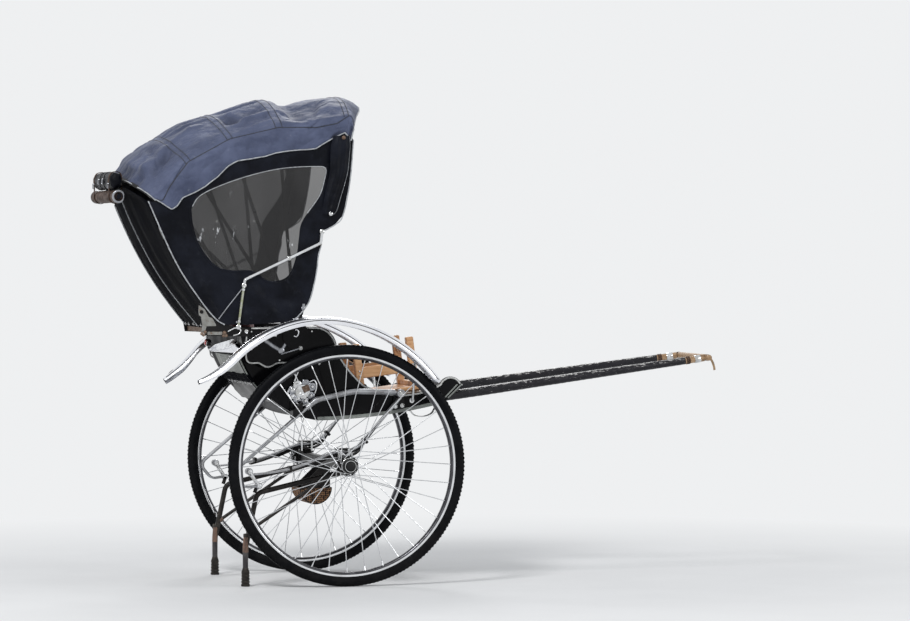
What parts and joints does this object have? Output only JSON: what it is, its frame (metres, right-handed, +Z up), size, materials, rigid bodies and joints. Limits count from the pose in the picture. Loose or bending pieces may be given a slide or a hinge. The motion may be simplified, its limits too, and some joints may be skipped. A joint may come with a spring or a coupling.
{
  "type": "pulled rickshaw",
  "caption": "Hand-pulled passenger carriage with tall wire wheels, leaf springs, a black tub, mudguards, a folding canvas hood, long shafts and a rear stand.",
  "frame": {"origin": "centre of the overall box in X and Y, on the ground at Z = 0", "axes": "+X forward along the shafts, +Y to the vehicle's left, +Z up"},
  "size_m": [2.8612, 1.114, 2.2397],
  "materials": {
    "tyre": "dull black solid rubber",
    "chrome": "bright plated steel",
    "black_steel": "worn black paint",
    "grey_steel": "light grey paint",
    "black_lacquer": "gloss black lacquer",
    "floor_wood": "dark varnished board",
    "red_leather": "deep red upholstery",
    "shaft_black": "black painted, worn",
    "tan_wood": "bare tan wood",
    "polished_steel": "polished sheet",
    "bow_black": "black paint",
    "blue_canvas": "slate blue canvas",
    "black_canvas": "black coated canvas",
    "clear_vinyl": "greyish clear vinyl",
    "rusty_steel": "rusty",
    "black_plastic": "matt",
    "rubber": "matt black",
    "wicker": "dark woven cane",
    "orange_wood": "orange-brown varnish"
  },
  "bodies": {
    "chassis": {"axle": "black_steel", "back_curtain": "black_canvas", "basket": "wicker", "blind_roll": "black_canvas", "boarding_stool": "orange_wood", "crossbar": "tan_wood", "floor_board": "floor_wood", "foot_left": "rubber", "foot_right": "rubber", "hood_base_left": "grey_steel", "hood_base_right": "grey_steel", "hood_bow_front": "bow_black", "hood_bow_front_middle": "bow_black", "hood_bow_middle": "bow_black", "hood_bow_rear": "bow_black", "hood_bow_rear_middle": "bow_black", "hood_cover": "blue_canvas", "hood_pivot_left": "chrome", "hood_pivot_right": "chrome", "hood_side_left": "black_canvas", "hood_side_right": "black_canvas", "hood_stay_left": "chrome", "hood_stay_right": "chrome", "leaf_spring_left": "black_steel", "leaf_spring_right": "black_steel", "mudguard_left": "polished_steel", "mudguard_right": "polished_steel", "rear_lamp": "black_plastic", "rear_rail": "rusty_steel", "roll_straps": "black_canvas", "seat_back": "red_leather", "seat_box": "floor_wood", "seat_cushion": "red_leather", "shaft_left": "shaft_black", "shaft_right": "shaft_black", "shaft_tip_left": "tan_wood", "shaft_tip_right": "tan_wood", "side_panel_left": "black_lacquer", "side_panel_right": "black_lacquer", "spring_hanger_left": "black_steel", "spring_hanger_right": "black_steel", "stand_left": "black_steel", "stand_right": "black_steel", "tub_skin": "black_lacquer", "upper_spring_left": "grey_steel", "upper_spring_right": "grey_steel", "window_pane_left": "clear_vinyl", "window_pane_right": "clear_vinyl", "wing_left": "black_lacquer", "wing_right": "black_lacquer"},
    "wheel_left": {"tyre_left": "tyre", "rim_left": "chrome", "spokes_left": "chrome", "hub_left": "black_steel"},
    "wheel_right": {"tyre_right": "tyre", "rim_right": "chrome", "spokes_right": "chrome", "hub_right": "black_steel"}
  },
  "joints": [
    {"name": "wheel_left", "type": "hinge", "parent": "chassis", "child": "wheel_left", "pos_m": [-0.38135, 0.475, 0.55], "axis": [0, 1, 0], "continuous": true},
    {"name": "wheel_right", "type": "hinge", "parent": "chassis", "child": "wheel_right", "pos_m": [-0.38135, -0.475, 0.55], "axis": [0, 1, 0], "continuous": true}
  ]
}
